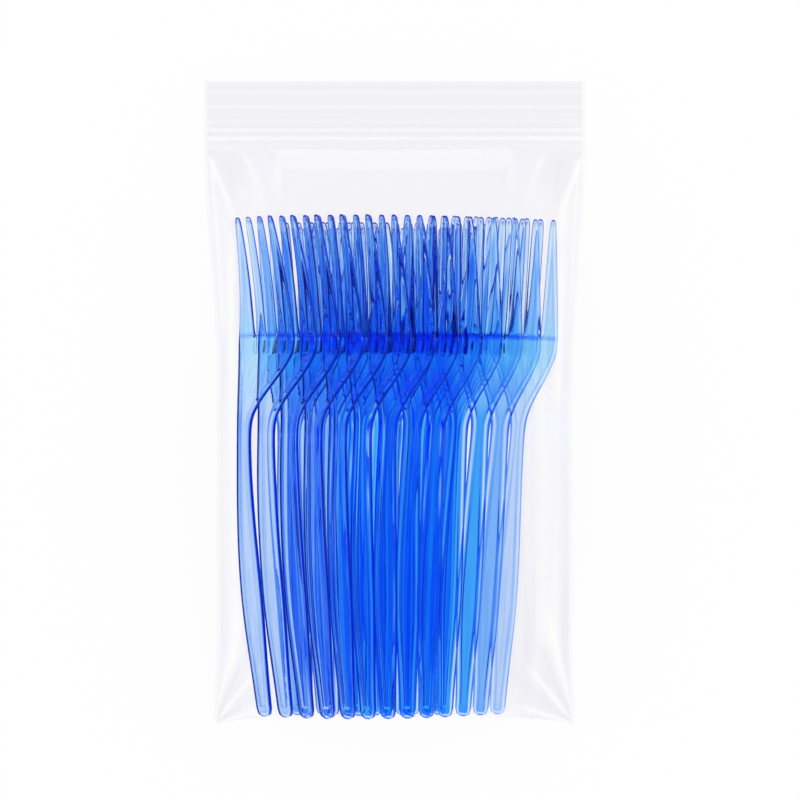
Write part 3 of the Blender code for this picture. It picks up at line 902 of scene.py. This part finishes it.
def corner_petals(xs, ys, side):
    """Creases that fan out of a bottom corner."""
    corner_x = side * (BAG_WIDTH / 2 - WAIST + CORNER_FLARE)
    dx = (corner_x - xs) * side
    dy = ys + BAG_HEIGHT / 2
    reach = np.hypot(dx, dy)
    angle = np.arctan2(dy, np.maximum(dx, 1e-6))
    lift = np.zeros(xs.shape)
    for at, width, run, height in CORNER_PETALS:
        fade = np.clip(1 - reach / run, 0, 1) * smooth_all(reach / 0.006)
        lift += height * ridge(angle - at, width) * fade
    return lift


def shoulder_creases(xs, ys, side):
    """Curved creases that run down from the zip's ends."""
    down = BAG_HEIGHT / 2 - LIP_HEIGHT - ZIP_SPACING - ys
    lift = np.zeros(xs.shape)
    for start, lean, run, height, width in SHOULDER_CREASES:
        t = np.clip(down / run, 0, 1)
        line = start - lean * t * (1 - t) * 1.6
        shape = smooth_all(t * 5) * (1 - t)
        lift += height * ridge(xs * side - line, width) * shape * (down > 0)
    return lift


def long_folds(xs, ys, share):
    """Soft upright folds between the forks and the side seams."""
    body = smooth_all((BAG_HEIGHT / 2 - LIP_HEIGHT - 0.012 - ys) / 0.03)
    body = body * smooth_all((ys + BAG_HEIGHT / 2) / 0.02)
    lift = np.zeros(xs.shape)
    for at, wander, phase, height, width in LONG_FOLDS:
        line = at + wander * np.sin(ys * 38 + phase)
        lift += height * ridge(share - line, width)
    return lift * body


def lip_ribs(ys):
    """Fine ribs across the lips."""
    up = ys - (BAG_HEIGHT / 2 - LIP_HEIGHT + 0.002)
    wave = np.sin(up / RIB_PITCH * 2 * math.pi) ** 3
    return RIB_HEIGHT * wave * smooth_all(up / 0.002) * smooth_all((BAG_HEIGHT / 2 - 0.0015 - ys) / 0.002)


def stroke(xs, ys, line, width):
    """A soft streak along a line of (x, y) points that runs down the bag."""
    line = np.array(line)
    centre = np.interp(ys, line[::-1, 1], line[::-1, 0])
    top = line[0, 1]
    low = line[-1, 1]
    along = np.clip((top - ys) / (top - low), 0, 1)
    fade = smooth_all(along / 0.12) * smooth_all((1 - along) / 0.15)
    return np.exp(-(((xs - centre) / width) ** 2)) * fade


def zip_light(ys):
    """The pressed tracks show as a bright band between two fine lines."""
    up = ys - (BAG_HEIGHT / 2 - LIP_HEIGHT)
    light = np.zeros(ys.shape)
    for at, width, gain in ZIP_LINES:
        light += gain * np.exp(-(((up - at) / width) ** 2))
    return light


def fold_light(xs, ys, folds):
    """How light the film looks: ridges catch the white room, hollows are greyer."""
    light = np.clip(folds / 0.9e-3, -1, 1) * 0.9
    for gain, width, line in FOLD_STROKES:
        light = light + gain * stroke(xs, ys, line, width)
    inside = smooth_all((BAG_HEIGHT / 2 - LIP_HEIGHT - 0.002 - ys) / 0.004)
    wave = np.sin(ys / 0.00052) * np.sin(ys / 0.0021 + 1.0) * 0.35
    return np.clip(light * inside + (1 - inside) * wave + zip_light(ys), -1, 1)


# Bag: its pieces


def bag_piece(name, points, faces, material):
    mesh = bpy.data.meshes.new(name)
    mesh.from_pydata(points, [], faces)
    mesh.materials.append(material)
    add_piece(name, mesh, "zip_bag")
    return mesh


def film_sheet(name, xs, ys, zs, faces_down, light, material):
    rows, cols = xs.shape
    points = np.stack([xs, ys, zs], axis=-1).reshape(-1, 3)
    index = np.arange(rows * cols).reshape(rows, cols)
    corners = [index[:-1, :-1], index[:-1, 1:], index[1:, 1:], index[1:, :-1]]
    quads = np.stack(corners, axis=-1).reshape(-1, 4)
    if faces_down:
        quads = quads[:, ::-1]
    mesh = bag_piece(name, points.tolist(), quads.tolist(), material)
    mesh.shade_smooth()
    mesh.attributes.new("fold_light", "FLOAT", "POINT").data.foreach_set("value", light.ravel())


def bag_grid():
    """Heights of the rows, and each point's share of the half width and its place from above."""
    heights = np.linspace(0, BAG_HEIGHT, ROWS)
    shares = np.linspace(-1, 1, COLUMNS)
    xs = np.outer(half_bag(heights) - WELD_WIDTH, shares)
    bottom = BOTTOM_LIFT * np.outer(np.clip(1 - heights / BOTTOM_LIFT_RUN, 0, 1) ** 2, 1 - shares**8)
    ys = heights[:, None] + bottom - BAG_HEIGHT / 2
    return heights, np.repeat(shares[None, :], ROWS, axis=0), xs, ys


def bag_sheets(nodes, film):
    """The front and the back sheet, drawn tight round the forks and creased."""
    heights, share, xs, ys = bag_grid()
    over, under = room_for_film(heights, xs, ys, nodes)
    seam = np.repeat(seam_level(heights)[:, None], COLUMNS, axis=1)
    stiff = heights > BAG_HEIGHT - LIP_HEIGHT - ZIP_SPACING - STIFF_BELOW_ZIP
    fixed = np.repeat(stiff[:, None], COLUMNS, axis=1)
    front = settled(seam + MOUTH_HALF, over, np.full(xs.shape, FILM_HIGH), fixed)
    back = settled(seam - MOUTH_HALF, np.full(xs.shape, FILM_LOW), under, fixed)
    petals = corner_petals(xs, ys, -1) + corner_petals(xs, ys, 1)
    folds = long_folds(xs, ys, share) + lip_ribs(ys) + petals
    for side in (-1, 1):
        folds = folds + shoulder_creases(xs, ys, side)
    loose = smooth_all((1 - abs(share)) / 0.03) * smooth_all(heights[:, None] / 0.002)
    front = np.maximum(front + folds * loose, over)
    back = np.clip(back - 0.5 * folds * loose, FILM_LOW, under)
    light = fold_light(xs, ys, folds + 1.5 * petals)
    film_sheet("bag_front", xs, ys, np.maximum(front, back + SHEET_GAP), False, light, film)
    film_sheet("bag_back", xs, ys, back, True, light, film)


def lofted(rings):
    """A closed tube through rings of points, with a flat end on the first and the last."""
    count = len(rings[0])
    points = [point for ring in rings for point in ring]
    faces = []
    for start in range(count, len(points), count):
        last = start - count
        for k in range(count):
            n = (k + 1) % count
            faces.append((last + k, start + k, start + n, last + n))
    faces.append(tuple(range(count)))
    faces.append(tuple(range(len(points) - 1, len(points) - count - 1, -1)))
    return points, faces


def side_welds(material):
    """A flat strip of welded film down each side."""
    heights = np.linspace(0, BAG_HEIGHT, WELD_POINTS)
    for side, name in ((-1, "weld_left"), (1, "weld_right")):
        rings = []
        for half, height, z in zip(half_bag(heights), heights, seam_level(heights)):
            near, far = sorted((side * (half - WELD_WIDTH - WELD_OVERLAP), side * half))
            y = height - BAG_HEIGHT / 2
            low = z - WELD_HALF_THICKNESS
            high = z + WELD_HALF_THICKNESS
            rings.append([(near, y, high), (far, y, high), (far, y, low), (near, y, low)])
        bag_piece(name, *lofted(rings), material)


def bar(name, y, width, height, material):
    """A pressed zip track: a long bar with a rounded face, crimped flat at both ends."""
    profile = [(math.cos(a) * width / 2, math.sin(a) * height) for a in np.linspace(0, 2 * math.pi, 17)[:-1]]
    half = BAG_WIDTH / 2 - WELD_WIDTH
    crimp_at = half - CRIMP_LENGTH
    ends = (np.linspace(-half, -crimp_at, 14), np.linspace(crimp_at, half, 14))
    rings = []
    for x in np.concatenate([ends[0], np.linspace(-crimp_at, crimp_at, 60)[1:-1], ends[1]]):
        whole = smooth((half - abs(x)) / CRIMP_RUN)
        crimp = 0.35 + 0.65 * whole + (1 - whole) * 0.18 * math.sin(x / 0.0006)
        spread = 1.0 + 0.25 * (1 - whole)
        rings.append([(x, y + py * spread, ZIP_LEVEL + pz * crimp) for py, pz in profile])
    bag_piece(name, *lofted(rings), material).shade_smooth()


def zip_tracks(material):
    for name, up, width, height in ZIP_BARS:
        bar(name, BAG_HEIGHT / 2 - LIP_HEIGHT + up, width, height, material)


# Stage


def area_light(name, place, aim, size, power):
    light = bpy.data.lights.new(name, "AREA")
    light.shape = "RECTANGLE"
    light.size = size[0]
    light.size_y = size[1]
    light.energy = power
    obj = bpy.data.objects.new(name, light)
    bpy.context.scene.collection.objects.link(obj)
    obj.location = place
    obj.rotation_euler = (Vector(aim) - Vector(place)).to_track_quat("-Z", "Y").to_euler()
    obj.visible_glossy = False


def white_world():
    """White all round; in reflections it is white near the floor and dark overhead."""
    world = bpy.data.worlds.new("studio")
    bpy.context.scene.world = world
    world.use_nodes = True
    tree = world.node_tree
    tree.nodes.clear()
    out = tree.nodes.new("ShaderNodeOutputWorld")
    room = add(tree, "ShaderNodeBackground", Color=(*WHITE, 1.0))
    strength = mapped(tree, coordinate(tree, "Generated", "Z"), REFLECTED_HEIGHTS, REFLECTED_LIGHT)
    tree.links.new(strength, room.inputs["Strength"])
    plain = add(tree, "ShaderNodeBackground", Strength=1.0, Color=(*WHITE, 1.0))
    path = tree.nodes.new("ShaderNodeLightPath")
    glossy = path.outputs["Is Glossy Ray"]
    both = mixed_shaders(tree, glossy, plain.outputs["Background"], room.outputs["Background"])
    tree.links.new(both, out.inputs["Surface"])


def white_floor():
    mesh = bpy.data.meshes.new("floor")
    ends = (-FLOOR_REACH, FLOOR_REACH)
    mesh.from_pydata([(x, y, FLOOR_LEVEL) for y in ends for x in ends], [], [(0, 1, 3, 2)])
    mesh.materials.append(floor_material())
    floor = bpy.data.objects.new("floor", mesh)
    bpy.context.scene.collection.objects.link(floor)


def stage():
    white_floor()
    white_world()
    for name, x in STRIPS:
        area_light(name, (x, 0.0, STRIP_HEIGHT), PACK_MIDDLE, STRIP_SIZE, STRIP_POWER)


def camera():
    """Looks straight down, with the photograph's width across the pack's middle height."""
    data = bpy.data.cameras.new("camera")
    data.sensor_width = SENSOR
    data.lens = SENSOR * CAMERA_ABOVE / PHOTO_WIDTH
    data.clip_start = 0.01
    obj = bpy.data.objects.new("camera", data)
    bpy.context.scene.collection.objects.link(obj)
    obj.location = (CAMERA_X, CAMERA_Y, PLANE + CAMERA_ABOVE)
    obj.rotation_euler = (0, 0, 0)
    bpy.context.scene.camera = obj


def render_settings():
    scene = bpy.context.scene
    scene.view_settings.view_transform = "Standard"
    scene.cycles.max_bounces = 40
    scene.cycles.transmission_bounces = 40
    scene.cycles.transparent_max_bounces = 48
    scene.cycles.glossy_bounces = 32
    scene.cycles.diffuse_bounces = 3
    scene.cycles.use_denoising = True


def dress(nodes):
    """The forks, the film over them, and the stiffer welds and zip, which have no ripples."""
    dress_forks(nodes)
    bag_sheets(nodes, film_material("bag_film", FILM_TINT, haze=0.0, gloss_rough=0.045))
    flat = {"ripple": 0.0, "low_glint": 0.0}
    side_welds(film_material("bag_film_welded", WELD_TINT, haze=0.0, gloss_rough=0.10, **flat))
    zip_tracks(film_material("zip_plastic", ZIP_TINT, haze=0.10, gloss_rough=0.25, rim_glint=0.2, **flat))


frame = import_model()
render_settings()
camera()
stage()
dress(frame["nodes"])
